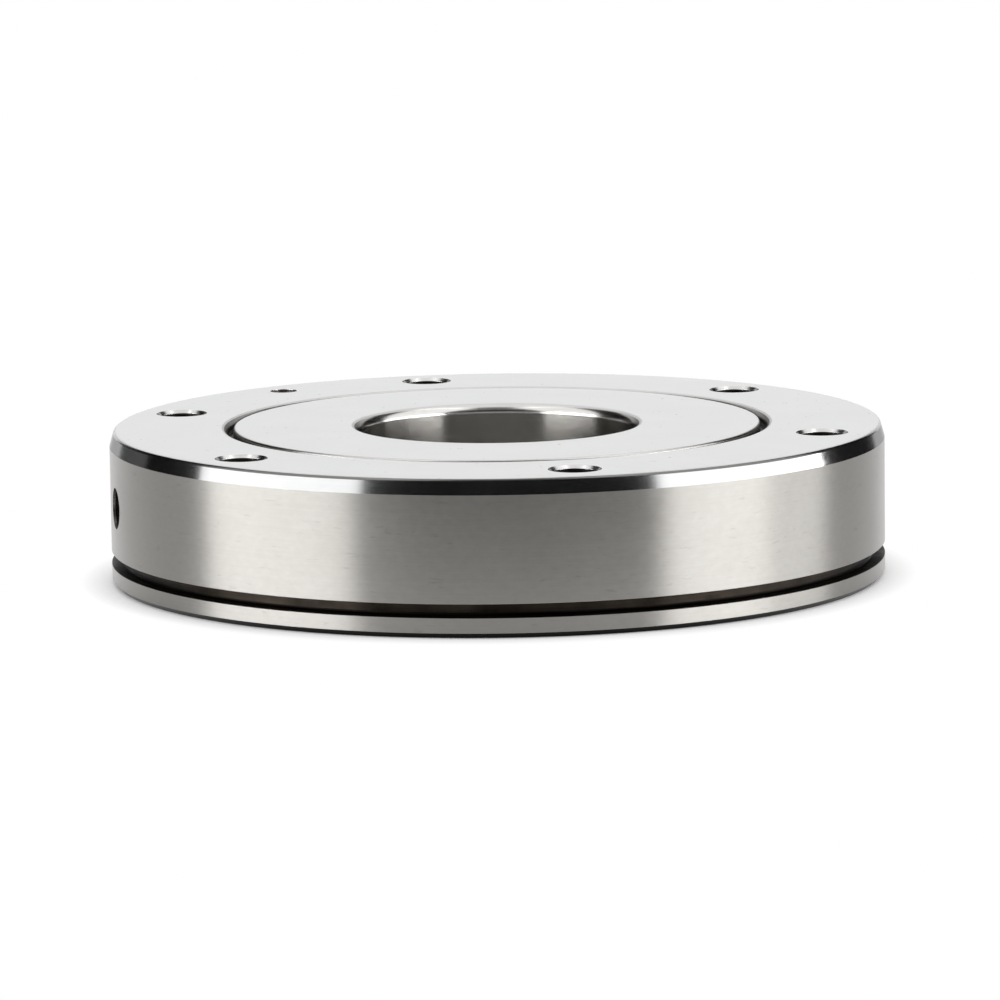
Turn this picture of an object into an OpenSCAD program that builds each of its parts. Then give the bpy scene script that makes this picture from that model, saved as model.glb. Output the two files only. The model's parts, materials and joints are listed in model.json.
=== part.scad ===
// Crossed roller slewing bearing: a bolted one-piece outer ring and a plain inner ring that turns in it.
// Millimetres, +Z is the turning axis, and the origin is the centre of the bottom face.
// The rollers stand between two V raceways with their axes leaning in and out by turns.

/* [Rings] */
// Outside diameter of the outer ring
outer_d = 112; // [100:0.5:130]
// Bore of the inner ring
bore_d = 40; // [30:0.5:48]
// Height of both rings
ring_h = 22; // [20:0.25:26]
// Radial width from the roller circle to the outside
outer_section = 17.5; // [16.5:0.25:20]
// Radial gap between the two rings
gap_w = 0.8; // [0.6:0.05:1.2]
// Chamfer on the outer ring's inner edges
outer_lip_c = 0.8; // [0.2:0.05:1]
// Chamfer on the inner ring's outer edges
inner_lip_c = 0.2; // [0.1:0.05:0.5]
// Rounding of the bore's edges
bore_round = 1.4; // [0.4:0.1:2.5]

/* [Outer edge] */
// Radial width of the lead-in taper under the top face
lead_w = 0.65; // [0.4:0.05:1.5]
// Height of the lead-in taper
lead_h = 2.25; // [1:0.05:3]
// Rounding between the lead-in taper and the top face
lead_round = 0.6; // [0.2:0.1:1]
// Radial width of the bevel at the foot
foot_w = 0.7; // [0.3:0.05:1.5]
// Height of the bevel at the foot
foot_h = 1; // [0.4:0.05:1.5]
// Height of the extraction groove's lower wall above the bottom face
groove_z = 2.9; // [2:0.05:3.5]
// Width of the extraction groove
groove_w = 1.85; // [1:0.05:2.5]
// Depth of the extraction groove
groove_depth = 2; // [0.5:0.1:3]
// Rounding in the corners of the extraction groove's floor
groove_round = 0.4; // [0.1:0.05:0.45]

/* [Bolt holes] */
// Number of bolt holes
bolt_count = 6; // [6:1:8]
// Distance of the bolt circle from the outside
bolt_edge = 7.5; // [7:0.1:8.5]
// Diameter of a bolt hole
bolt_hole_d = 6.6; // [4.5:0.1:7]
// Width of the countersink round each end of a bolt hole
bolt_sink = 0.45; // [0.1:0.05:0.8]

/* [Raceway and rollers] */
// Height of the roller plane above the bottom face
race_z = 12; // [10:0.25:12.5]
// Diameter of a roller
roller_d = 5; // [4.5:0.05:5.25]
// How much shorter than its diameter a roller is
roller_short = 0.2; // [0.1:0.05:0.5]
// Chamfer on the ends of a roller
roller_c = 0.3; // [0.1:0.05:0.6]
// Clearance between a roller and the raceways
race_clear = 0.1; // [0.05:0.01:0.15]
// Diameter of the relief groove at the bottom of each V
relief_d = 0.9; // [0.6:0.05:1.4]

/* [Spacers] */
// Length of a spacer along the roller circle
spacer_l = 2.4; // [1.6:0.1:3]
// Least thickness of a spacer between its two rollers
spacer_t = 0.8; // [0.5:0.05:1.5]
// Clearance between a spacer and the rollers that it parts
spacer_clear = 0.1; // [0.05:0.01:0.15]
// Clearance between a spacer and the raceways
spacer_side_clear = 0.3; // [0.2:0.05:0.6]

/* [Seals] */
// Depth of a seal below its face of the rings
seal_recess = 1.9; // [1.2:0.05:2.2]
// Height of a seal
seal_h = 2; // [1.4:0.1:2.4]
// Depth of a seal's groove in the outer ring
seal_depth = 1.3; // [0.8:0.1:2]
// Height of the lip where it meets the inner ring
seal_lip_h = 0.5; // [0.3:0.05:1]
// Running clearance between a seal's lip and the inner ring
seal_clear = 0.05; // [0.02:0.01:0.1]

/* [Filling plug] */
// Diameter of the plug that closes the roller filling hole
plug_d = 7.4; // [7:0.1:8]
// Turn of the plug from midway between two bolt holes, in degrees
plug_turn = 2.5; // [0:0.5:8]
// Diameter of the pin that locks the plug
pin_d = 4; // [3:0.1:4.5]
// Distance of the pin from the outside
pin_edge = 6.2; // [5.5:0.1:8]
// Depth of the pin's head below the top face
pin_recess = 1; // [0.2:0.1:2.5]
// How far the pin runs on below the plug
pin_foot = 3; // [1:0.1:4]
// Chamfer on the ends of the pin
pin_c = 0.4; // [0.1:0.05:0.8]
// Clearance of the plug, the pin and the seals in their seats
seat_clear = 0.02; // [0.01:0.01:0.05]

/* [Grease port] */
// Tapping diameter of the grease port
port_d = 5; // [4:0.1:6]
// Depth of the tapped length
port_depth = 9; // [6:0.25:10]
// Width of the chamfer at the port's mouth
port_sink = 0.45; // [0.1:0.05:0.8]
// Diameter of the channel from the port to the raceway
channel_d = 2.5; // [1.5:0.1:3.5]

/* [Hidden] */
$fn = 96;
// A cut runs this far past the face that it opens
past = 1;

outer_r = outer_d / 2;
bore_r = bore_d / 2;
pitch_r = outer_r - outer_section;
bolt_r = outer_r - bolt_edge;
pin_r = outer_r - pin_edge;

// The rings face each other across the gap on either side of the roller circle
gap_in_r = pitch_r - gap_w / 2;
gap_out_r = pitch_r + gap_w / 2;
groove_floor_r = outer_r - groove_depth;
groove_top_z = groove_z + groove_w;

// Both V raceways are cut by one square that stands on its corner
race_side = roller_d + 2 * race_clear;
race_reach = race_side / sqrt(2);
roller_l = roller_d - roller_short;
roller_lean = 45;

// A bolt hole lies on +X, the grease port is midway between two holes, and the plug is between the next two
bolt_step = 360 / bolt_count;
port_angle = (floor(bolt_count / 2) + 0.5) * bolt_step;
plug_angle = port_angle - bolt_step - plug_turn;

// As many pairs of rollers as the circle holds with a spacer between each two
roller_room = roller_d + 2 * spacer_clear + spacer_t;
roller_count = 2 * floor(PI * pitch_r / roller_room);
roller_step = 360 / roller_count;

plug_bore_d = plug_d + 2 * seat_clear;
pin_bore_d = pin_d + 2 * seat_clear;
pin_top_z = ring_h - pin_recess;
pin_end_z = race_z - plug_d / 2 - pin_foot;

spacer_side = race_side - 2 * spacer_side_clear;
spacer_sweep = spacer_l / pitch_r * 180 / PI;

seal_out_r = gap_out_r + seal_depth;
seal_lip_r = gap_in_r + seal_clear;
upper_seal_z = ring_h - seal_recess - seal_h;
lower_seal_z = seal_recess;

function roller_name(k) = str("roller_", k < 10 ? "0" : "", k);
function roller_angle(k) = (k - 1) * roller_step;
function spacer_angle(k) = roller_angle(k) + roller_step / 2;
function leans_out(k) = k % 2 == 1;

RING_NODES = ["outer_ring", "inner_ring", "filling_plug", "plug_pin", "upper_seal", "lower_seal"];
ROLLER_NODES = [for (k = [1:roller_count]) roller_name(k)];

// What a rounding takes off a square corner that points along the two signs
module corner_cut(radius, x_sign, y_sign) {
    mirror([x_sign < 0 ? 1 : 0, 0])
        mirror([0, y_sign < 0 ? 1 : 0])
            difference() {
                translate([-radius, -radius])
                    square(radius + past);
                translate([-radius, -radius])
                    circle(radius);
            }
}

// The square that the crossed rollers run in, with its relief grooves
module raceway_section() {
    translate([pitch_r, race_z]) {
        rotate(roller_lean)
            square(race_side, center = true);
        for (side = [-1, 1])
            translate([side * race_reach, 0])
                circle(d = relief_d);
    }
}

// A seal's groove in the outer ring, from the height of its lower wall
module seal_groove_section(z) {
    translate([gap_out_r - past, z - seat_clear])
        square([seal_depth + seat_clear + past, seal_h + 2 * seat_clear]);
}

// The lead-in taper, which ends in a rounding that meets the top face
module lead_section() {
    lean = atan(lead_w / lead_h);
    round_w = lead_round * tan((90 - lean) / 2);
    edge_r = outer_r - lead_w;
    translate([edge_r, ring_h])
        polygon([[0, past], [0, 0], [lead_w, -lead_h], [lead_w + past, -lead_h], [lead_w + past, past]]);
    difference() {
        translate([edge_r - round_w, ring_h - round_w])
            square(round_w + past);
        translate([edge_r - round_w, ring_h - lead_round])
            circle(lead_round);
        translate([edge_r - round_w, ring_h - round_w - past])
            square([round_w + past, past + round_w - round_w * cos(lean)]);
    }
}

// The extraction groove with rounded corners at its floor
module extraction_section() {
    floor_w = groove_w - 2 * groove_round;
    translate([groove_floor_r + groove_round, groove_z])
        square([groove_depth + past, groove_w]);
    translate([groove_floor_r, groove_z + groove_round])
        square([groove_depth, floor_w]);
    for (z = [groove_z + groove_round, groove_top_z - groove_round])
        translate([groove_floor_r + groove_round, z])
            circle(groove_round);
}

// Half section of the outer ring before it is drilled
module outer_section() {
    foot_r = outer_r - foot_w;
    lip_r = gap_out_r + outer_lip_c;
    lip_top_z = ring_h - outer_lip_c;
    difference() {
        polygon([
            [lip_r, 0],
            [foot_r, 0],
            [outer_r, foot_h],
            [outer_r, ring_h],
            [lip_r, ring_h],
            [gap_out_r, lip_top_z],
            [gap_out_r, outer_lip_c],
        ]);
        lead_section();
        extraction_section();
        raceway_section();
        seal_groove_section(upper_seal_z);
        seal_groove_section(lower_seal_z);
    }
}

// Half section of the inner ring
module inner_section() {
    lip_r = gap_in_r - inner_lip_c;
    lip_top_z = ring_h - inner_lip_c;
    difference() {
        polygon([
            [bore_r, 0],
            [lip_r, 0],
            [gap_in_r, inner_lip_c],
            [gap_in_r, lip_top_z],
            [lip_r, ring_h],
            [bore_r, ring_h],
        ]);
        translate([bore_r, 0])
            corner_cut(bore_round, -1, -1);
        translate([bore_r, ring_h])
            corner_cut(bore_round, -1, 1);
        raceway_section();
    }
}

// One bolt hole through the ring, countersunk at both faces
module bolt_hole() {
    translate([0, 0, -past])
        cylinder(d = bolt_hole_d, h = ring_h + 2 * past);
    for (end = [0, 1])
        translate([0, 0, end * ring_h])
            mirror([0, 0, end])
                translate([0, 0, -past])
                    cylinder(d1 = bolt_hole_d + 2 * (bolt_sink + past), d2 = bolt_hole_d, h = bolt_sink + past);
}

// A round bar along +X from the roller circle out past the outside
module radial_bar(d) {
    translate([pitch_r, 0, race_z])
        rotate([0, 90, 0])
            cylinder(d = d, h = outer_r - pitch_r + past);
}

// The tapped port, its mouth and the channel to the raceway
module grease_port() {
    radial_bar(channel_d);
    translate([outer_r - port_depth, 0, race_z])
        rotate([0, 90, 0])
            cylinder(d = port_d, h = port_depth + past);
    translate([outer_r - port_sink, 0, race_z])
        rotate([0, 90, 0])
            cylinder(d1 = port_d, d2 = port_d + 2 * (port_sink + past), h = port_sink + past);
}

// The drilling that the locking pin stands in
module pin_bore() {
    translate([pin_r, 0, pin_end_z])
        cylinder(d = pin_bore_d, h = ring_h - pin_end_z + past);
}

module outer_ring() {
    color("gainsboro")
        difference() {
            rotate_extrude()
                outer_section();
            for (k = [0:bolt_count - 1])
                rotate(k * bolt_step)
                    translate([bolt_r, 0, 0])
                        bolt_hole();
            rotate(port_angle)
                grease_port();
            rotate(plug_angle) {
                radial_bar(plug_bore_d);
                pin_bore();
            }
        }
}

module inner_ring() {
    color("silver")
        rotate_extrude()
            inner_section();
}

// The plug carries its own length of the raceway and of the outside
module filling_plug() {
    color("lightgray")
        difference() {
            intersection() {
                rotate_extrude()
                    outer_section();
                rotate(plug_angle)
                    radial_bar(plug_d);
            }
            rotate(plug_angle)
                pin_bore();
        }
}

// A round bar about its own middle, chamfered at both ends
module chamfered_bar(d, l, c) {
    rotate_extrude()
        polygon([
            [0, -l / 2],
            [d / 2 - c, -l / 2],
            [d / 2, c - l / 2],
            [d / 2, l / 2 - c],
            [d / 2 - c, l / 2],
            [0, l / 2],
        ]);
}

module plug_pin() {
    color("darkgray")
        rotate(plug_angle)
            translate([pin_r, 0, (pin_top_z + pin_end_z) / 2])
                chamfered_bar(pin_d, pin_top_z - pin_end_z, pin_c);
}

// A seal ring from its seat to its lip, which stands at the face side
module seal_ring() {
    rotate_extrude()
        polygon([
            [seal_out_r, 0],
            [seal_out_r, seal_h],
            [seal_lip_r, seal_h],
            [seal_lip_r, seal_h - seal_lip_h],
            [gap_out_r, 0],
        ]);
}

module upper_seal() {
    color("black")
        translate([0, 0, upper_seal_z])
            seal_ring();
}

module lower_seal() {
    color("black")
        translate([0, 0, lower_seal_z + seal_h])
            mirror([0, 0, 1])
                seal_ring();
}

// A bar on a roller's own axis, whose outer end leans up or down by turns
module on_roller_axis(k) {
    rotate(roller_angle(k))
        translate([pitch_r, 0, race_z])
            rotate([0, leans_out(k) ? roller_lean : 180 - roller_lean, 0])
                children();
}

// One spacer, hollowed on both sides by the rollers that it parts
module spacer(k) {
    saddle_d = roller_d + 2 * spacer_clear;
    difference() {
        rotate(spacer_angle(k) - spacer_sweep / 2)
            rotate_extrude(angle = spacer_sweep)
                translate([pitch_r, race_z])
                    rotate(roller_lean)
                        square(spacer_side, center = true);
        for (neighbour = [k, k + 1])
            on_roller_axis(neighbour)
                cylinder(d = saddle_d, h = 2 * race_side, center = true);
    }
}

module roller_spacers() {
    color("ivory")
        for (k = [1:roller_count])
            spacer(k);
}

module roller(k) {
    color("whitesmoke")
        on_roller_axis(k)
            chamfered_bar(roller_d, roller_l, roller_c);
}

outer_ring();
inner_ring();
filling_plug();
plug_pin();
upper_seal();
lower_seal();
roller_spacers();
for (k = [1:roller_count])
    roller(k);
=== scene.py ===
"""Looks of a crossed roller slewing bearing on a white studio floor.

The two rings are rebuilt as fine skins from their outlines, with broken edges and drilled holes.
The plug, the pin, the seals, the rollers and their spacers keep the frame's own meshes.
"""
import itertools
import json
import math

import bpy
from mathutils import Matrix, Vector
from mathutils.geometry import delaunay_2d_cdt


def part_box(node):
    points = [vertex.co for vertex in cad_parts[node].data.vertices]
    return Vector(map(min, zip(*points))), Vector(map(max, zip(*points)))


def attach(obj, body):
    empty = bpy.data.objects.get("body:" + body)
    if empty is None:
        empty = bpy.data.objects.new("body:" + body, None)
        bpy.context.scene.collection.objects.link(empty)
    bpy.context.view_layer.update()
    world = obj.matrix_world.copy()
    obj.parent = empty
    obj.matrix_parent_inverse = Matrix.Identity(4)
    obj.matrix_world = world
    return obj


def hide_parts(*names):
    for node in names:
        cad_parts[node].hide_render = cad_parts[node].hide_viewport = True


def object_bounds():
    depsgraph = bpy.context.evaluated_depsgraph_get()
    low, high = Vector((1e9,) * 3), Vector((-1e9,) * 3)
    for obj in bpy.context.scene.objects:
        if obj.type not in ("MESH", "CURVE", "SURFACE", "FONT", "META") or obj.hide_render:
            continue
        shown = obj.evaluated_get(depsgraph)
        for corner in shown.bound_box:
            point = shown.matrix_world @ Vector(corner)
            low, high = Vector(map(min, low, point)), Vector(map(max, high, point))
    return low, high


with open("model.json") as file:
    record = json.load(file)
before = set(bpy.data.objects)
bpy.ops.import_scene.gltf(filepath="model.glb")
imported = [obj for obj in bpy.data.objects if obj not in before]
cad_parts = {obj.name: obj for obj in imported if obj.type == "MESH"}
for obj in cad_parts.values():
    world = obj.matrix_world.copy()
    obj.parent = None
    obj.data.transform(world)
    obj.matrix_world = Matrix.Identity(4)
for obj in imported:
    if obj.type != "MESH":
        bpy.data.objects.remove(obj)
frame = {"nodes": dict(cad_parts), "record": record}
cad_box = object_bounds()

# Sizes are in millimetres until a point goes into a mesh
MM = 0.001
# Corners that lie closer than this, in metres, are one corner
WELD = 2e-7
FILL_TOLERANCE = 1e-7

# What the frame says
mounts = {m["name"]: m for m in frame["record"]["mounts"]}
OUTER_R = mounts["outer_seat"]["dims"]["r_mm"]
BORE_R = mounts["shaft_bore"]["dims"]["r_mm"]
BOLT_CIRCLE_R = mounts["outer_bolts"]["dims"]["pcd_mm"] / 2
BOLT_COUNT = mounts["outer_bolts"]["dims"]["count"]
BOLT_HOLE_R = mounts["outer_bolts"]["dims"]["hole_r_mm"]
PORT_R = mounts["grease_port"]["dims"]["r_mm"]
PORT_L = mounts["grease_port"]["dims"]["length_mm"]
PORT_AXIS = Vector(mounts["grease_port"]["axis"])
RACE_Z = mounts["grease_port"]["pos_m"][2] / MM
HEIGHT = cad_box[1][2] / MM
GAP_IN_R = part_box("inner_ring")[1][0] / MM
PIN_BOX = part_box("plug_pin")
PLUG_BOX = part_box("filling_plug")
SEAL_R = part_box("upper_seal")[1][0] / MM
SEAL_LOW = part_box("upper_seal")[0][2] / MM
SEAL_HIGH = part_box("upper_seal")[1][2] / MM

# The rings' outlines as they are cut.
# The lips of the gap are rounded and the foot is low, as the photograph shows them
GAP_W = 0.8
GAP_OUT_R = GAP_IN_R + GAP_W
OUTER_LIP = 1.2
INNER_LIP = 0.4
BORE_ROUND = 1.4
LEAD_W = 0.65
LEAD_H = 2.25
LEAD_ROUND = 0.6
FOOT_W = 0.7
FOOT_H = 0.75
GROOVE_LOW = 2.9
GROOVE_HIGH = 4.75
GROOVE_DEPTH = 2.0
GROOVE_ROUND = 0.4
SEAT_CLEAR = 0.02
# The raceway is a square that stands on its corner
RACE_SQUARE = 5.2
RACE_REACH = RACE_SQUARE / math.sqrt(2)
RACE_ROUND = 0.35
BOLT_SINK = 0.45
PORT_SINK = 0.45
# The countersink ends at this share of the thread's root, which is reached this much deeper
PORT_THROAT = 0.97
PORT_THROAT_L = 0.1
THREAD_DEPTH = 0.5
THREAD_PITCH = 1.0
# Half the ridge's foot as a share of the pitch, and how far the foot is sunk into the wall
THREAD_HALF = 0.42
THREAD_SUNK = 0.03
CHANNEL_R = 1.25
CHANNEL_END_R = 43.0
# The pin and the plug hide what is below this depth
POCKET_DEPTH = 1.6
# How far the window in the side reaches past a radial hole, round the ring and up and down
WINDOW_ROUND = 1.2
WINDOW_HIGH = 1.0
# A point on the face this far from a hole's edge, which only gives that edge its direction
ASIDE = 2.0
# How much a radial hole's walls face out of the ring beside facing the hole's axis
OUTWARD = 0.2
# Every edge is broken by about this much
EDGE = 0.08
# How far up a rounding's normals point where it still has the face's finish, and where it blends
FACE_FLAT = 0.94
BLEND_FLAT = 0.8

RING_STEPS = 360
HOLE_STEPS = 72
THREAD_STEPS = 48
# Steps that the thread's end caps stand for in its run-out
CAP_STEPS = 3
ARC_STEP = math.radians(9)


# Outlines

def line(a, b):
    """Two outline points with the normal on the right of the way from a to b."""
    way = Vector((b[0] - a[0], b[1] - a[1])).normalized()
    normal = (way.y, -way.x)
    return [(*a, *normal), (*b, *normal)]


def fillet(before, corner, after, radius):
    """An arc of that radius that rounds a corner, as outline points with their normals."""
    back = (Vector(before) - Vector(corner)).normalized()
    ahead = (Vector(after) - Vector(corner)).normalized()
    half = back.angle(ahead) / 2
    reach = radius / math.tan(half)
    start = Vector(corner) + back * reach
    end = Vector(corner) + ahead * reach
    centre = Vector(corner) + (back + ahead).normalized() * radius / math.sin(half)
    first = start - centre
    turn = first.angle_signed(end - centre)
    steps = max(2, math.ceil(abs(turn) / ARC_STEP))
    # Clockwise turns are positive: the outline turns anticlockwise at its outer corners
    side = 1 if turn < 0 else -1
    points = []
    for i in range(steps + 1):
        spoke = first.copy()
        spoke.rotate(Matrix.Rotation(-turn * i / steps, 2))
        place = centre + spoke
        normal = spoke.normalized() * side
        points.append((place.x, place.y, normal.x, normal.y))
    return points


def outline(corners):
    """Runs of outline points as (zone, points).

    A corner is (r, z, rounding, zone of the rounding, zone of the line that follows).
    """
    count = len(corners)
    places = [c[:2] for c in corners]
    arcs = []
    for i, (r, z, rounding, *_) in enumerate(corners):
        arcs.append(fillet(places[i - 1], (r, z), places[(i + 1) % count], rounding))
    runs = []
    for i, (*_, edge_zone, zone) in enumerate(corners):
        runs.append((edge_zone, arcs[i]))
        runs.append((zone, line(arcs[i][-1][:2], arcs[(i + 1) % count][0][:2])))
    return runs


def outer_corners():
    """The outer ring's outline, anticlockwise from the foot of the gap."""
    groove_r = OUTER_R - GROOVE_DEPTH
    seat_r = SEAL_R + SEAT_CLEAR
    low = SEAL_LOW - SEAT_CLEAR
    high = SEAL_HIGH + SEAT_CLEAR
    mouth = RACE_REACH - GAP_W / 2
    return [
        (GAP_OUT_R, 0, OUTER_LIP, "lip", "bottom"),
        (OUTER_R - FOOT_W, 0, EDGE, "foot", "foot"),
        (OUTER_R, FOOT_H, EDGE, "side", "side"),
        # The groove's lower wall and its corners take painted shade
        (OUTER_R, GROOVE_LOW, EDGE, "black", "black"),
        (groove_r, GROOVE_LOW, GROOVE_ROUND, "black", "groove"),
        (groove_r, GROOVE_HIGH, GROOVE_ROUND, "groove", "groove"),
        (OUTER_R, GROOVE_HIGH, EDGE, "side", "seat"),
        (OUTER_R, HEIGHT - LEAD_H, EDGE, "side", "taper"),
        (OUTER_R - LEAD_W, HEIGHT, LEAD_ROUND, "rim", "top"),
        (GAP_OUT_R, HEIGHT, OUTER_LIP, "lip", "gap"),
        (GAP_OUT_R, high, EDGE, "gap", "gap"),
        (seat_r, high, EDGE, "gap", "gap"),
        (seat_r, low, EDGE, "gap", "gap"),
        (GAP_OUT_R, low, EDGE, "gap", "gap"),
        (GAP_OUT_R, RACE_Z + mouth, EDGE, "gap", "race"),
        (GAP_OUT_R + mouth, RACE_Z, RACE_ROUND, "race", "race"),
        (GAP_OUT_R, RACE_Z - mouth, EDGE, "gap", "gap"),
        (GAP_OUT_R, HEIGHT - low, EDGE, "gap", "gap"),
        (seat_r, HEIGHT - low, EDGE, "gap", "gap"),
        (seat_r, HEIGHT - high, EDGE, "gap", "gap"),
        (GAP_OUT_R, HEIGHT - high, EDGE, "gap", "gap"),
    ]


def inner_corners():
    """The inner ring's outline, anticlockwise from the foot of the bore."""
    mouth = RACE_REACH - GAP_W / 2
    return [
        (BORE_R, 0, BORE_ROUND, "round", "bottom"),
        (GAP_IN_R, 0, INNER_LIP, "lip", "gap"),
        (GAP_IN_R, RACE_Z - mouth, EDGE, "gap", "race"),
        (GAP_IN_R - mouth, RACE_Z, RACE_ROUND, "race", "race"),
        (GAP_IN_R, RACE_Z + mouth, EDGE, "gap", "gap"),
        (GAP_IN_R, HEIGHT, INNER_LIP, "lip", "top"),
        (BORE_R, HEIGHT, BORE_ROUND, "round", "bore"),
    ]


# Skins

class Skin:
    """Faces with a zone and their own corner normals, joined where their corners meet."""

    def __init__(self):
        self.places = []
        self.index = {}
        self.faces = []
        self.zones = []
        self.normals = []

    def corner(self, place):
        """The number of the corner at a place, or of one a quarter of the weld away."""
        cells = [c * MM / WELD for c in place]
        key = tuple(round(c) for c in cells)
        if key not in self.index:
            for near in itertools.product(*({round(c - 0.25), round(c + 0.25)} for c in cells)):
                self.index.setdefault(near, len(self.places))
            self.places.append([c * MM for c in place])
        return self.index[key]

    def face(self, places, normals, zone):
        ids = []
        ways = []
        for place, normal in zip(places, normals):
            i = self.corner(place)
            if i not in ids:
                ids.append(i)
                ways.append(Vector(normal).normalized())
        if len(ids) < 3:
            return
        a, b, c = (Vector(self.places[i]) for i in ids[:3])
        if (b - a).cross(c - a).dot(ways[0]) < 0:
            ids.reverse()
            ways.reverse()
        self.faces.append(ids)
        self.zones.append(zone)
        self.normals.extend(ways)

    def revolve(self, run, zone, steps, place=Matrix(), keep=None):
        """Turns outline points about the Z axis of a place. keep(step) says which steps are made."""
        turn = place.to_3x3()
        spokes = circle(1, steps)
        rows = []
        for r, z, nr, nz in run:
            rows.append([
                (place @ Vector((r * c, r * s, z)), turn @ Vector((nr * c, nr * s, nz)))
                for c, s in spokes
            ])
        for low, high in zip(rows, rows[1:]):
            for i in range(steps):
                if keep and not keep(i):
                    continue
                j = (i + 1) % steps
                ring = (low[i], low[j], high[j], high[i])
                self.face([p for p, _ in ring], [n for _, n in ring], zone)

    def fill(self, loops, zone, lift):
        """Fills between the first loop and the others.

        lift(u, v) gives a flat point's place and normal.
        """
        flat = [Vector(p) for loop in loops for p in loop]
        edges = []
        first = 0
        for loop in loops:
            edges += [(first + i, first + (i + 1) % len(loop)) for i in range(len(loop))]
            first += len(loop)
        points, _, faces, *_ = delaunay_2d_cdt(flat, edges, [], 0, FILL_TOLERANCE)
        for face in faces:
            middle = sum((points[i] for i in face), Vector((0, 0))) / len(face)
            if not inside(middle, loops[0]) or any(inside(middle, loop) for loop in loops[1:]):
                continue
            lifted = [lift(*points[i]) for i in face]
            self.face([p for p, _ in lifted], [n for _, n in lifted], zone)

    def build(self, name, zone_materials):
        mesh = bpy.data.meshes.new(name)
        mesh.from_pydata(self.places, [], self.faces)
        slots = list(dict.fromkeys(zone_materials[z] for z in self.zones))
        for slot in slots:
            mesh.materials.append(slot)
        places = [slots.index(zone_materials[z]) for z in self.zones]
        mesh.polygons.foreach_set("material_index", places)
        mesh.shade_smooth()
        mesh.normals_split_custom_set(self.normals)
        mesh.validate()
        piece = bpy.data.objects.new(name, mesh)
        bpy.context.scene.collection.objects.link(piece)
        return piece


def inside(point, loop):
    """Whether a flat point is inside a closed loop."""
    found = False
    for (ax, ay), (bx, by) in zip(loop, loop[1:] + loop[:1]):
        if (ay > point.y) != (by > point.y) and point.x < ax + (point.y - ay) * (bx - ax) / (by - ay):
            found = not found
    return found


def circle(radius, steps, centre=(0, 0)):
    """Points round a circle from +X, as a revolved point meets them."""
    turns = [math.tau * i / steps for i in range(steps)]
    return [(centre[0] + radius * math.cos(t), centre[1] + radius * math.sin(t)) for t in turns]


# Drilled holes

def bolt_centres():
    turns = [math.tau * k / BOLT_COUNT for k in range(BOLT_COUNT)]
    return [(BOLT_CIRCLE_R * math.cos(t), BOLT_CIRCLE_R * math.sin(t)) for t in turns]


def pin_centre():
    low, high = PIN_BOX
    return ((low[0] + high[0]) / 2 / MM, (low[1] + high[1]) / 2 / MM)


def bolt_hole_runs():
    """The wall of a bolt hole from the top face to the bottom, with its countersinks."""
    wide = BOLT_HOLE_R + BOLT_SINK
    corners = [
        (wide + ASIDE, HEIGHT),
        (wide, HEIGHT),
        (BOLT_HOLE_R, HEIGHT - BOLT_SINK),
        (BOLT_HOLE_R, BOLT_SINK),
        (wide, 0),
        (wide + ASIDE, 0),
    ]
    return open_runs(corners, ["sink", "hole", "sink"])


def open_runs(corners, zones):
    """Runs from the first rounding to the last of an open outline, leaving its two end lines out."""
    arcs = [fillet(*three, EDGE) for three in zip(corners, corners[1:], corners[2:])]
    runs = [("edge", arcs[0])]
    for zone, before, after in zip(zones, arcs, arcs[1:]):
        runs.append((zone, line(before[-1][:2], after[0][:2])))
        runs.append(("edge", after))
    return runs


def pocket_runs(radius, top, depth):
    """A straight hole's wall and floor from its mouth down, with the mouth's edge broken."""
    low = top - depth
    runs = open_runs([(radius + ASIDE, top), (radius, top), (radius, low), (0, low)], ["pocket"])
    floor = runs[-1][1][-1]
    runs.append(("pocket", [floor, (0, floor[1], 0, 1)]))
    return runs


def drill(skin, runs, centre):
    """Adds the wall of an upright hole."""
    for zone, run in runs:
        skin.revolve(run, zone, HOLE_STEPS, Matrix.Translation((*centre, 0)))


def side_place(axis):
    """A place on the axis of a radial hole, with its Z pointing out of the ring."""
    out = Vector(axis)
    across = Vector((0, 0, 1)).cross(out)
    turn = Matrix((across, Vector((0, 0, 1)), out)).transposed().to_4x4()
    return Matrix.Translation((0, 0, RACE_Z)) @ turn


def side_window(skin, axis, mouth_r, low, high):
    """Fills the window that the seat leaves round a radial hole, up to the hole's mouth."""
    middle = math.atan2(axis[1], axis[0]) % math.tau
    step = math.tau / RING_STEPS
    first, last = window_steps(axis, mouth_r)
    spokes = [i * step - middle for i in range(first, last + 1)]
    bottom = [(OUTER_R * t, low) for t in spokes]
    top = [(OUTER_R * t, high) for t in reversed(spokes)]
    mouth = []
    for u, v in circle(mouth_r, HOLE_STEPS):
        mouth.append((OUTER_R * math.asin(u / OUTER_R), RACE_Z + v))

    def lift(u, v):
        t = middle + u / OUTER_R
        normal = (math.cos(t), math.sin(t), 0)
        return (OUTER_R * normal[0], OUTER_R * normal[1], v), normal

    skin.fill([bottom + top, mouth], "seat", lift)


def window_steps(axis, mouth_r):
    """The first and the last spoke of the window round a radial hole."""
    middle = math.atan2(axis[1], axis[0]) % math.tau
    half = (mouth_r + WINDOW_ROUND) / OUTER_R
    step = math.tau / RING_STEPS
    return math.floor((middle - half) / step), math.ceil((middle + half) / step)


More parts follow.
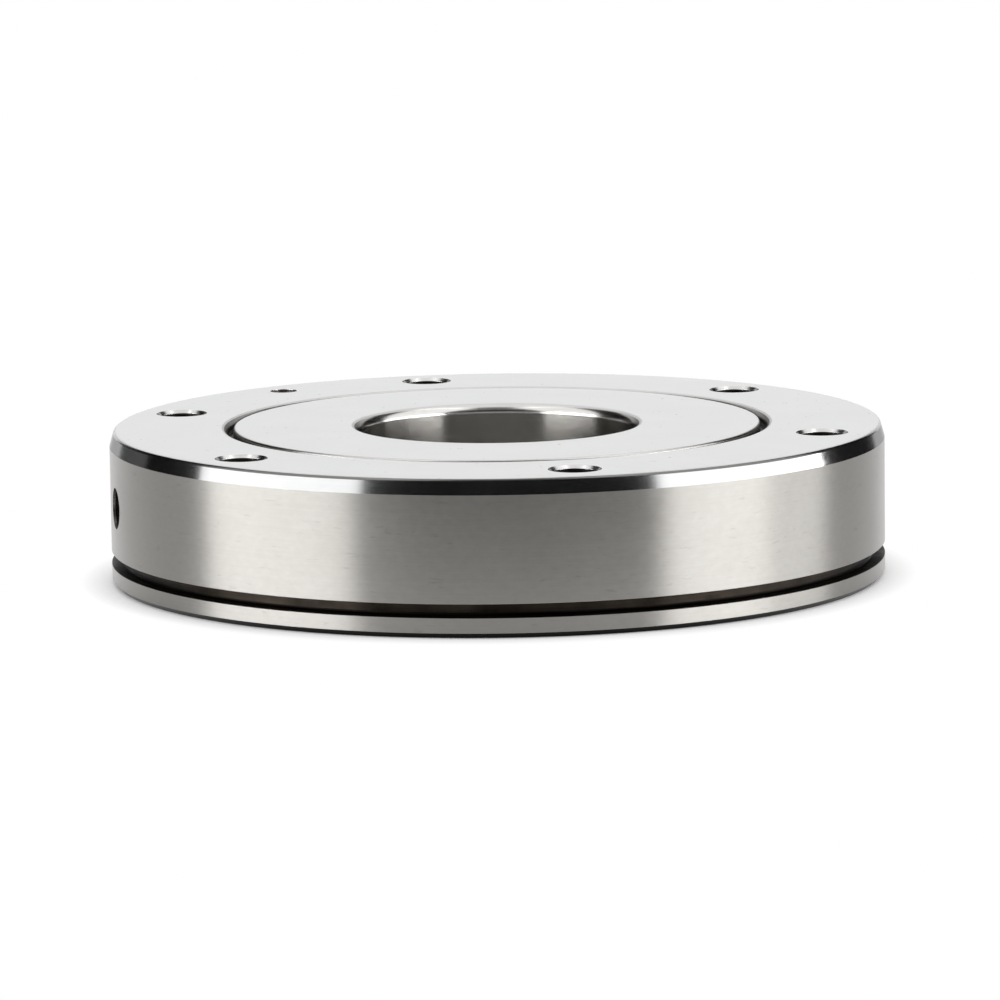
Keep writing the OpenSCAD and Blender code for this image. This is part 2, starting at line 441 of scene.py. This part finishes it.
def radial_hole(skin, axis, mouth_r, rows):
    """Joins a radial hole's mouth on the curved side to its flat rows.

    A row is (radius, distance from the ring's centre, zone of the wall that ends there).
    """
    place = side_place(axis)
    turn = place.to_3x3()
    ring = []
    for u, v in circle(mouth_r, HOLE_STEPS):
        reach = math.sqrt(OUTER_R ** 2 - u ** 2)
        ring.append(place @ Vector((u, v, reach)))
    spokes = circle(1, HOLE_STEPS)
    for radius, depth, zone in rows:
        nxt = []
        for u, v in spokes:
            nxt.append(place @ Vector((radius * u, radius * v, depth)))
        for i in range(HOLE_STEPS):
            j = (i + 1) % HOLE_STEPS
            quad = (ring[i], ring[j], nxt[j], nxt[i])
            way = (quad[1] - quad[0]).cross(quad[3] - quad[0]).normalized()
            facing = turn @ Vector((-spokes[i][0], -spokes[i][1], OUTWARD))
            way = way if way.dot(facing) > 0 else -way
            skin.face(quad, [way] * 4, zone)
        ring = nxt


def thread_ridge(name, root_r, crest_r, low, high, place, zone_material):
    """One helical ridge of an internal thread along a place's Z axis, run out at both ends."""
    skin = Skin()
    run_out = THREAD_STEPS / 2
    count = int((high - low) / THREAD_PITCH * THREAD_STEPS)
    half = THREAD_PITCH * THREAD_HALF
    foot_r = root_r + THREAD_SUNK
    turn = place.to_3x3()

    def section(i):
        """The ridge's corners at a step, and the normals of its two flanks and its foot."""
        t = math.tau * i / THREAD_STEPS
        z = low + THREAD_PITCH * i / THREAD_STEPS
        c, s = math.cos(t), math.sin(t)
        from_end = min(i, count - i) + CAP_STEPS
        rise = (root_r - crest_r) * min(1, from_end / run_out)
        corners = [(foot_r, z - half), (root_r - rise, z), (foot_r, z + half)]
        places = [place @ Vector((r * c, r * s, h)) for r, h in corners]
        normals = [turn @ Vector(n) for n in ((-c, -s, -1), (-c, -s, 1), (c, s, 0))]
        return places, normals

    for i in range(count):
        a, na = section(i)
        b, nb = section(i + 1)
        for side in range(3):
            up = (side + 1) % 3
            corners = (a[side], b[side], b[up], a[up])
            skin.face(corners, (na[side], nb[side], nb[side], na[side]), "thread")
    for i, way in ((0, -1), (count, 1)):
        t = math.tau * i / THREAD_STEPS
        end = turn @ Vector((-math.sin(t), math.cos(t), 0)) * way
        skin.face(section(i)[0], [end] * 3, "thread")
    return skin.build(name, {"thread": zone_material})


# Materials

class Shader:
    """A Principled material whose nodes are added by name."""

    def __init__(self, name, **sockets):
        self.material = bpy.data.materials.new(name)
        self.material.use_nodes = True
        self.nodes = self.material.node_tree.nodes
        self.links = self.material.node_tree.links
        self.bsdf = self.nodes["Principled BSDF"]
        for socket, value in sockets.items():
            self.bsdf.inputs[socket.replace("_", " ")].default_value = value

    def node(self, kind, **settings):
        made = self.nodes.new(kind)
        for key, value in settings.items():
            setattr(made, key, value)
        return made

    def link(self, source, target):
        self.links.new(source, target)

    def noise(self, scale, detail=3.0, stretch=(1, 1, 1)):
        """Noise in the piece's own space, stretched along its axes."""
        space = self.node("ShaderNodeTexCoord")
        mapping = self.node("ShaderNodeMapping")
        mapping.inputs["Scale"].default_value = stretch
        texture = self.node("ShaderNodeTexNoise")
        texture.inputs["Scale"].default_value = scale
        texture.inputs["Detail"].default_value = detail
        self.link(space.outputs["Object"], mapping.inputs["Vector"])
        self.link(mapping.outputs["Vector"], texture.inputs["Vector"])
        return texture.outputs["Fac"]

    def ramp(self, source, stops):
        """A colour ramp from (position, colour) stops."""
        ramp = self.node("ShaderNodeValToRGB")
        elements = ramp.color_ramp.elements
        while len(elements) < len(stops):
            elements.new(0.5)
        for element, (position, colour) in zip(elements, stops):
            element.position = position
            element.color = (*colour, 1)
        self.link(source, ramp.inputs["Fac"])
        return ramp.outputs["Color"]

    def spread(self, source, low, high, start=0.3, end=0.7):
        """A value mapped to a range from another one, by default the middle of a noise."""
        spread = self.node("ShaderNodeMapRange")
        spread.inputs["From Min"].default_value = start
        spread.inputs["From Max"].default_value = end
        spread.inputs["To Min"].default_value = low
        spread.inputs["To Max"].default_value = high
        self.link(source, spread.inputs["Value"])
        return spread.outputs["Result"]

    def calculate(self, operation, *sources):
        """The result of a sum on sockets or plain numbers."""
        node = self.node("ShaderNodeMath", operation=operation)
        for socket, source in zip(node.inputs, sources):
            if isinstance(source, float):
                socket.default_value = source
            else:
                self.link(source, socket)
        return node.outputs[0]

    def product(self, a, b):
        """One colour times another."""
        product = self.node("ShaderNodeMix", data_type="RGBA", blend_type="MULTIPLY")
        product.inputs["Factor"].default_value = 1.0
        self.link(a, product.inputs["A"])
        self.link(b, product.inputs["B"])
        return product.outputs["Result"]

    def vary_roughness(self, source, low, high):
        """Lets the roughness follow a noise within a range."""
        self.link(self.spread(source, low, high), self.bsdf.inputs["Roughness"])

    def bump(self, source, strength, distance):
        """Adds a height to the shader's normal, on top of any that is there."""
        bump = self.node("ShaderNodeBump")
        bump.inputs["Strength"].default_value = strength
        bump.inputs["Distance"].default_value = distance
        self.link(source, bump.inputs["Height"])
        held = self.bsdf.inputs["Normal"].links
        if held:
            self.link(held[0].from_socket, bump.inputs["Normal"])
        self.link(bump.outputs["Normal"], self.bsdf.inputs["Normal"])

    def grind_round(self, anisotropy):
        """Grinding round the turning axis, which smears light along that axis."""
        tangent = self.node("ShaderNodeTangent", direction_type="RADIAL", axis="Z")
        self.link(tangent.outputs["Tangent"], self.bsdf.inputs["Tangent"])
        self.bsdf.inputs["Anisotropic"].default_value = anisotropy
        self.bsdf.inputs["Anisotropic Rotation"].default_value = 0.25


WARM_STEEL = (0.335, 0.326, 0.31)
# How noises are drawn out along X, Y and Z
ROUND_LINES = (30, 30, 6500)
HANDLING_MARKS = (420, 420, 1900)
CROSS_SCRATCHES = (2600, 160, 400)
GROOVE_LINES = (40, 40, 9000)
TOOL_RINGS = (120, 120, 4200)


def tinted(colour, share):
    return tuple(c * share for c in colour)


def blend(shader, parts):
    """A weighted sum of noises, from (source, weight) parts."""
    total = 0.0
    for source, weight in parts:
        total = shader.calculate("MULTIPLY_ADD", source, weight, total)
    return total


def ground_steel(
    name, colour, roughness, anisotropy, lines=0.25, contrast=0.06, depth=1.5e-6, grazing=1.0, marks=1.0
):
    """Steel ground round the axis: fine lines, a mottled grain, faint warm patches and marks."""
    shader = Shader(name, Metallic=1.0, Specular_Tint=(grazing, grazing, grazing, 1))
    shader.grind_round(anisotropy)
    fine = shader.noise(1.0, 4.0, ROUND_LINES)
    grain = shader.noise(700.0, 5.0, (1, 1, 1.6))
    patches = shader.noise(110.0, 4.0)
    mixed = blend(shader, [(fine, lines), (grain, 0.6 - lines), (patches, 0.4)])
    # The dark patches are a little warmer than the rest
    warm = [c * (1 - contrast * share) for c, share in zip(colour, (1, 1.15, 1.3))]
    tone = shader.ramp(mixed, [(0.34, warm), (0.66, tinted(colour, 1 + contrast))])
    if marks < 1:
        # Short faint marks of handling, drawn out round the axis
        marked = shader.ramp(shader.noise(1.0, 2.0, HANDLING_MARKS), [
            (0.26, (marks, marks * 0.99, marks * 0.98)),
            (0.35, (1, 1, 1)),
        ])
        tone = shader.product(tone, marked)
    shader.link(tone, shader.bsdf.inputs["Base Color"])
    shader.vary_roughness(mixed, roughness * 0.88, roughness * 1.12)
    shader.bump(fine, 0.3, depth)
    shader.bump(grain, 0.25, depth * 2)
    return shader.material


def lapped_steel(name, colour, roughness):
    """A flat ground face: faint cross scratches, small specks and soft patches."""
    shader = Shader(name, Metallic=1.0)
    patches = shader.noise(90.0, 5.0)
    scratches = shader.noise(1.0, 2.0, CROSS_SCRATCHES)
    specks = shader.noise(1300.0, 1.0)
    tone = shader.ramp(patches, [(0.3, tinted(colour, 0.97)), (0.7, tinted(colour, 1.03))])
    dark = shader.ramp(specks, [(0.19, (0.4, 0.39, 0.37)), (0.24, (1, 1, 1))])
    shader.link(shader.product(tone, dark), shader.bsdf.inputs["Base Color"])
    shader.vary_roughness(patches, roughness * 0.96, roughness * 1.04)
    shader.bump(scratches, 0.08, 1e-6)
    return shader.material


def turned_groove():
    """The groove's turned floor, browned and left rough."""
    shader = Shader("turned_groove", Metallic=1.0)
    shader.grind_round(0.5)
    lines = shader.noise(1.0, 3.0, GROOVE_LINES)
    stains = shader.noise(180.0, 4.0)
    colour = shader.ramp(stains, [(0.3, (0.012, 0.01, 0.008)), (0.75, (0.05, 0.041, 0.033))])
    shader.link(colour, shader.bsdf.inputs["Base Color"])
    shader.vary_roughness(lines, 0.38, 0.56)
    shader.bump(lines, 0.6, 1e-5)
    return shader.material


def drilled_steel(name, dark, bright, roughness, grazing=1.0):
    """A drilled wall with tool rings and a dull finish, between a dark and a bright tone; near black
    tones are painted shade.
    """
    shader = Shader(name, Metallic=1.0, Specular_Tint=(grazing, grazing, grazing, 1))
    rings = shader.noise(1.0, 3.0, TOOL_RINGS)
    shader.link(shader.ramp(rings, [(0.3, dark), (0.7, bright)]), shader.bsdf.inputs["Base Color"])
    shader.vary_roughness(rings, roughness * 0.8, roughness * 1.2)
    shader.bump(rings, 0.4, 8e-6)
    return shader.material


def seal_rubber():
    """Black moulded rubber with a fine grain and a trace of grease."""
    shader = Shader("seal_rubber", Specular_IOR_Level=0.4)
    grain = shader.noise(3000.0, 3.0)
    film = shader.noise(140.0, 3.0)
    colour = shader.ramp(film, [(0.3, (0.008, 0.008, 0.009)), (0.7, (0.022, 0.022, 0.023))])
    shader.link(colour, shader.bsdf.inputs["Base Color"])
    shader.vary_roughness(film, 0.42, 0.6)
    shader.bump(grain, 0.25, 1e-5)
    return shader.material


def spacer_plastic():
    """Natural moulded plastic, a little uneven in tone."""
    shader = Shader("spacer_plastic", Specular_IOR_Level=0.45)
    tone = shader.noise(500.0, 3.0)
    colour = shader.ramp(tone, [(0.3, (0.62, 0.57, 0.46)), (0.7, (0.74, 0.7, 0.6))])
    shader.link(colour, shader.bsdf.inputs["Base Color"])
    shader.vary_roughness(tone, 0.4, 0.55)
    shader.bump(tone, 0.2, 1e-5)
    return shader.material


side_steel = ground_steel("ground_side", WARM_STEEL, 0.36, 0.92, contrast=0.08, marks=0.89)
bore_steel = ground_steel("ground_bore", (0.365, 0.355, 0.338), 0.22, 0.93)
round_steel = ground_steel("turned_rounding", (0.64, 0.63, 0.615), 0.22, 0.5, grazing=0.15)
blend_steel = ground_steel("rounding_blend", (0.64, 0.635, 0.625), 0.3, 0.4, grazing=0.55)
taper_steel = ground_steel(
    "turned_taper", (0.75, 0.755, 0.76), 0.13, 0.5, contrast=0.03, depth=3e-6, grazing=0.4
)
race_steel = ground_steel("lapped_race", (0.6, 0.6, 0.6), 0.12, 0.4, contrast=0.03, depth=5e-7)
edge_steel = ground_steel("broken_edge", (0.62, 0.62, 0.615), 0.16, 0.3, contrast=0.03, depth=5e-7)
face_steel = lapped_steel("lapped_face", (0.65, 0.656, 0.652), 0.45)
# Dark as painted shade in the narrow gap between the rings
gap_shade_steel = ground_steel("gap_wall", (0.11, 0.108, 0.104), 0.35, 0.5)
# Near black as painted shade in the depths of the holes
hole_shade_steel = drilled_steel("drilled_hole", (0.018, 0.017, 0.015), (0.075, 0.07, 0.063), 0.42)
# Near black as painted shade: the groove's lower wall and its corners, in shade under the groove's
# overhang
overhang_shade_steel = drilled_steel("blackened_edge", (0.004, 0.0035, 0.003), (0.014, 0.012, 0.01), 0.5)
sink_steel = drilled_steel("countersink", (0.56, 0.555, 0.545), (0.68, 0.675, 0.665), 0.22, grazing=0.15)
# Darker than the face as painted shade: a dark line along the lips of the gap
lip_shade_steel = ground_steel("gap_lip", (0.54, 0.535, 0.525), 0.25, 0.3, depth=5e-7, grazing=0.15)
# Dark as painted shade: a dark line along the rim between the top face and the taper
rim_shade_steel = ground_steel("burnished_rim", (0.18, 0.178, 0.174), 0.2, 0.3, depth=5e-7)
# Near black as painted shade: the contact shadow along the foot, where the ring stands on the floor
foot_shade_steel = ground_steel("worn_foot", (0.014, 0.0135, 0.0125), 0.3, 0.3)
pin_steel = drilled_steel("pin_steel", (0.12, 0.115, 0.11), (0.26, 0.25, 0.24), 0.35)
roller_steel = lapped_steel("roller_steel", (0.62, 0.62, 0.62), 0.1)

ZONES = {
    "side": side_steel,
    "seat": side_steel,
    "taper": taper_steel,
    "edge": edge_steel,
    "rim": rim_shade_steel,
    "foot": foot_shade_steel,
    "lip": lip_shade_steel,
    "pocket": pin_steel,
    "round": round_steel,
    "blend": blend_steel,
    "black": overhang_shade_steel,
    "top": face_steel,
    "bottom": face_steel,
    "groove": turned_groove(),
    "gap": gap_shade_steel,
    "race": race_steel,
    "bore": bore_steel,
    "hole": hole_shade_steel,
    "sink": sink_steel,
}


# The rings

def revolve_rounding(skin, run, zone):
    """A rounding that leaves its face in the face's own finish and blends into its own."""
    for step in zip(run, run[1:]):
        flat = min(abs(point[3]) for point in step)
        part = "top" if flat > FACE_FLAT else "blend" if flat > BLEND_FLAT else zone
        skin.revolve(step, part, RING_STEPS)


def build_outer_ring():
    skin = Skin()
    port_mouth = PORT_R + PORT_SINK
    # The pin stands on the plug's axis
    plug_axis = Vector((*pin_centre(), 0)).normalized()
    plug_mouth = (PLUG_BOX[1][2] - PLUG_BOX[0][2]) / 2 / MM + SEAT_CLEAR
    window_half = plug_mouth + WINDOW_HIGH
    windows = [window_steps(PORT_AXIS, port_mouth), window_steps(plug_axis, plug_mouth)]

    def clear_of_windows(step):
        return not any(first <= step < last for first, last in windows)

    flat_edges = {}
    for zone, run in outline(outer_corners()):
        if zone in ("top", "bottom"):
            flat_edges[zone] = run
        elif zone == "seat":
            (r, low, *normal), (_, high, *_) = run
            levels = [low, RACE_Z - window_half, RACE_Z + window_half, high]
            rows = [(r, z, *normal) for z in levels]
            skin.revolve(rows[:2], zone, RING_STEPS)
            skin.revolve(rows[1:3], zone, RING_STEPS, keep=clear_of_windows)
            skin.revolve(rows[2:], zone, RING_STEPS)
        elif zone == "rim":
            # Only the lower part of the rounding is painted dark, as painted shade along the rim
            half = len(run) // 2
            skin.revolve(run[:half + 1], zone, RING_STEPS)
            skin.revolve(run[half:], "top", RING_STEPS)
        elif zone == "lip":
            revolve_rounding(skin, run, zone)
        else:
            skin.revolve(run, zone, RING_STEPS)

    for axis, mouth in ((PORT_AXIS, port_mouth), (plug_axis, plug_mouth)):
        side_window(skin, axis, mouth, RACE_Z - window_half, RACE_Z + window_half)
    root_r = PORT_R + THREAD_DEPTH
    floor = OUTER_R - PORT_SINK - PORT_L
    radial_hole(skin, PORT_AXIS, port_mouth, [
        (root_r * PORT_THROAT, OUTER_R - PORT_SINK, "pocket"),
        (root_r, OUTER_R - PORT_SINK - PORT_THROAT_L, "hole"),
        (root_r, floor, "hole"),
        (CHANNEL_R, floor, "hole"),
        (CHANNEL_R, CHANNEL_END_R, "hole"),
        (0, CHANNEL_END_R, "hole"),
    ])
    radial_hole(skin, plug_axis, plug_mouth, [
        (plug_mouth, OUTER_R - POCKET_DEPTH, "hole"),
        (0, OUTER_R - POCKET_DEPTH, "hole"),
    ])

    hole_runs = bolt_hole_runs()
    pin_hole_r = (PIN_BOX[1][0] - PIN_BOX[0][0]) / 2 / MM + SEAT_CLEAR
    pin_runs = pocket_runs(pin_hole_r, HEIGHT, POCKET_DEPTH)
    for centre in bolt_centres():
        drill(skin, hole_runs, centre)
    drill(skin, pin_runs, pin_centre())

    mouth_r = hole_runs[0][1][0][0]
    pin_mouth_r = pin_runs[0][1][0][0]
    for zone, height, way in (("top", HEIGHT, 1), ("bottom", 0, -1)):
        ends = sorted(point[0] for point in flat_edges[zone])
        loops = [circle(ends[1], RING_STEPS), circle(ends[0], RING_STEPS)]
        loops += [circle(mouth_r, HOLE_STEPS, c) for c in bolt_centres()]
        if zone == "top":
            loops.append(circle(pin_mouth_r, HOLE_STEPS, pin_centre()))
        skin.fill(loops, zone, lambda u, v, h=height, w=way: ((u, v, h), (0, 0, w)))
    return skin.build("outer_ring_skin", ZONES)


def build_inner_ring():
    skin = Skin()
    for zone, run in outline(inner_corners()):
        if zone in ("round", "lip"):
            revolve_rounding(skin, run, zone)
        else:
            skin.revolve(run, zone, RING_STEPS)
    return skin.build("inner_ring_skin", ZONES)


outer_skin = build_outer_ring()
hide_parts("outer_ring")
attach(outer_skin, "outer")

inner_skin = build_inner_ring()
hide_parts("inner_ring")
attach(inner_skin, "inner")

port_thread = thread_ridge(
    "grease_port_thread",
    PORT_R + THREAD_DEPTH,
    PORT_R,
    OUTER_R - PORT_SINK - PORT_L + THREAD_PITCH,
    OUTER_R - PORT_SINK - THREAD_PITCH / 2,
    side_place(PORT_AXIS),
    # Near black as painted shade inside the port
    drilled_steel("tapped_thread", (0.01, 0.009, 0.008), (0.04, 0.038, 0.034), 0.45),
)
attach(port_thread, "outer")


# The frame's own meshes take these finishes

def finish_node(name, material):
    mesh = frame["nodes"][name].data
    mesh.materials.clear()
    mesh.materials.append(material)


finish_node("filling_plug", side_steel)
finish_node("plug_pin", pin_steel)
rubber = seal_rubber()
finish_node("upper_seal", rubber)
finish_node("lower_seal", rubber)
finish_node("roller_spacers", spacer_plastic())
for node in frame["nodes"]:
    if node.startswith("roller_") and node != "roller_spacers":
        finish_node(node, roller_steel)


# Camera, as the photograph was taken

# Degrees, millimetres and pixels
VIEW_AZIMUTH = 17.36
VIEW_ELEVATION = 8.574
VIEW_DISTANCE = 880.7
VIEW_ROLL = -0.771
VIEW_FOCAL_PX = 6075.0
PICTURE_PX = 1000
VIEW_SHIFT_PX = (-2.22, -2.4)


def toward(azimuth, elevation):
    """The way from the object to a place at that azimuth and elevation, in degrees."""
    turn = math.radians(azimuth - 90)
    rise = math.radians(elevation)
    return Vector((math.cos(rise) * math.cos(turn), math.cos(rise) * math.sin(turn), math.sin(rise)))


middle = Vector((0, 0, HEIGHT / 2)) * MM
camera_data = bpy.data.cameras.new("camera")
camera = bpy.data.objects.new("camera", camera_data)
bpy.context.scene.collection.objects.link(camera)
camera_way = toward(VIEW_AZIMUTH, VIEW_ELEVATION)
camera_place = Matrix.Translation(middle + camera_way * VIEW_DISTANCE * MM)
camera_turn = camera_way.to_track_quat("Z", "Y").to_matrix().to_4x4()
camera.matrix_world = camera_place @ camera_turn @ Matrix.Rotation(math.radians(VIEW_ROLL), 4, "Z")
camera_data.lens = camera_data.sensor_width * VIEW_FOCAL_PX / PICTURE_PX
camera_data.shift_x = -VIEW_SHIFT_PX[0] / PICTURE_PX
camera_data.shift_y = VIEW_SHIFT_PX[1] / PICTURE_PX
camera_data.clip_start = 0.01
bpy.context.scene.camera = camera


# Floor and light

# The floor turns into the white background between these distances, in metres
WHITE_FROM = (0.0545, 0.0605)
# In reflections the paper dims to this share between these distances toward the photographer, in metres
PAPER_DIM = 0.0
PAPER_FADES = (0.085, 0.13)
FLOOR_HALF = 3.0
# The floor lies this far under the part, in metres, so that the two do not share a plane
FLOOR_DROP = 2e-5
ROOM_COLOUR = (0.0045, 0.0045, 0.005, 1)

# Name, azimuth from the camera's, elevation, distance, width, height (degrees and metres) and radiance
LAMPS = [
    ("left_strip", -66.3, 5, 0.9, 0.835, 0.157, 11.9),
    ("right_strip", 65.4, 5, 0.9, 0.575, 0.157, 12.0),
    ("right_fill", 96, 5, 0.92, 0.42, 0.157, 6.3),
    ("left_panel", -70.1, 40, 0.9, 0.973, 1.04, 1.2),
    ("right_panel", 80, 40, 0.9, 1.09, 1.04, 1.3),
    ("left_fill", -137, 6, 1.0, 0.45, 0.25, 0.09),
    ("back_panel", 180, 17, 1.4, 1.5, 0.856, 1.2),
    ("ceiling", 180, 72, 1.35, 1.3, 2.11, 1.1),
    ("front_panel", 0, 53, 1.3, 1.6, 0.7, 0.2),
    ("front_strip", 0, 6, 1.0, 1.5, 0.21, 0.55),
]


def soft_light(name, azimuth, elevation, distance, width, height, radiance):
    """A soft panel that faces the object, at an azimuth counted from the camera's."""
    data = bpy.data.lights.new(name, "AREA")
    data.shape = "RECTANGLE"
    data.size = width
    data.size_y = height
    data.energy = radiance * math.pi * width * height
    lamp = bpy.data.objects.new(name, data)
    bpy.context.scene.collection.objects.link(lamp)
    way = toward(VIEW_AZIMUTH + azimuth, elevation)
    turn = way.to_track_quat("Z", "Y").to_matrix().to_4x4()
    lamp.matrix_world = Matrix.Translation(middle + way * distance) @ turn
    lamp.visible_camera = False


for settings in LAMPS:
    soft_light(*settings)

world = bpy.data.worlds.new("studio")
bpy.context.scene.world = world
world.use_nodes = True
world.node_tree.nodes["Background"].inputs["Color"].default_value = ROOM_COLOUR


def white_floor():
    """White paper that keeps the shadow near the object and runs out into a white background."""
    shader = Shader("white_paper", Roughness=0.9, Specular_IOR_Level=0.1)
    tone = shader.noise(30.0, 2.0)
    colour = shader.ramp(tone, [(0.0, (0.93, 0.93, 0.93)), (1.0, (0.95, 0.95, 0.95))])
    shader.link(colour, shader.bsdf.inputs["Base Color"])
    place = shader.node("ShaderNodeTexCoord").outputs["Object"]
    far = shader.node("ShaderNodeVectorMath", operation="LENGTH")
    shader.link(place, far.inputs[0])
    ahead = shader.node("ShaderNodeVectorMath", operation="DOT_PRODUCT")
    shader.link(place, ahead.inputs[0])
    ahead.inputs[1].default_value = toward(VIEW_AZIMUTH, 0)
    # The camera, mirrors and glass see the white background, and the rest of the light meets paper
    rays = shader.node("ShaderNodeLightPath").outputs
    seen = shader.calculate("MAXIMUM", rays["Is Camera Ray"], rays["Is Glossy Ray"])
    clear = shader.calculate("MAXIMUM", seen, rays["Is Transmission Ray"])
    away = shader.spread(far.outputs["Value"], 0.0, 1.0, *WHITE_FROM)
    share = shader.calculate("MULTIPLY", away, clear)
    # Only mirrors see it dim
    lost = shader.spread(ahead.outputs["Value"], 0.0, 1 - PAPER_DIM, *PAPER_FADES)
    dimmed = shader.calculate("MULTIPLY", lost, rays["Is Glossy Ray"])
    strength = shader.calculate("SUBTRACT", 1.0, dimmed)
    white = shader.node("ShaderNodeEmission")
    shader.link(strength, white.inputs["Strength"])
    mix = shader.node("ShaderNodeMixShader")
    shader.link(share, mix.inputs["Fac"])
    shader.link(shader.bsdf.outputs["BSDF"], mix.inputs[1])
    shader.link(white.outputs["Emission"], mix.inputs[2])
    shader.link(mix.outputs["Shader"], shader.nodes["Material Output"].inputs["Surface"])
    return shader.material


floor_signs = ((-1, -1), (1, -1), (1, 1), (-1, 1))
floor_corners = [(FLOOR_HALF * x, FLOOR_HALF * y, 0) for x, y in floor_signs]
floor_mesh = bpy.data.meshes.new("floor")
floor_mesh.from_pydata(floor_corners, [], [(0, 1, 2, 3)])
floor_mesh.materials.append(white_floor())
floor = bpy.data.objects.new("floor", floor_mesh)
floor.location.z = -FLOOR_DROP
bpy.context.scene.collection.objects.link(floor)

bpy.context.scene.view_settings.view_transform = "Standard"
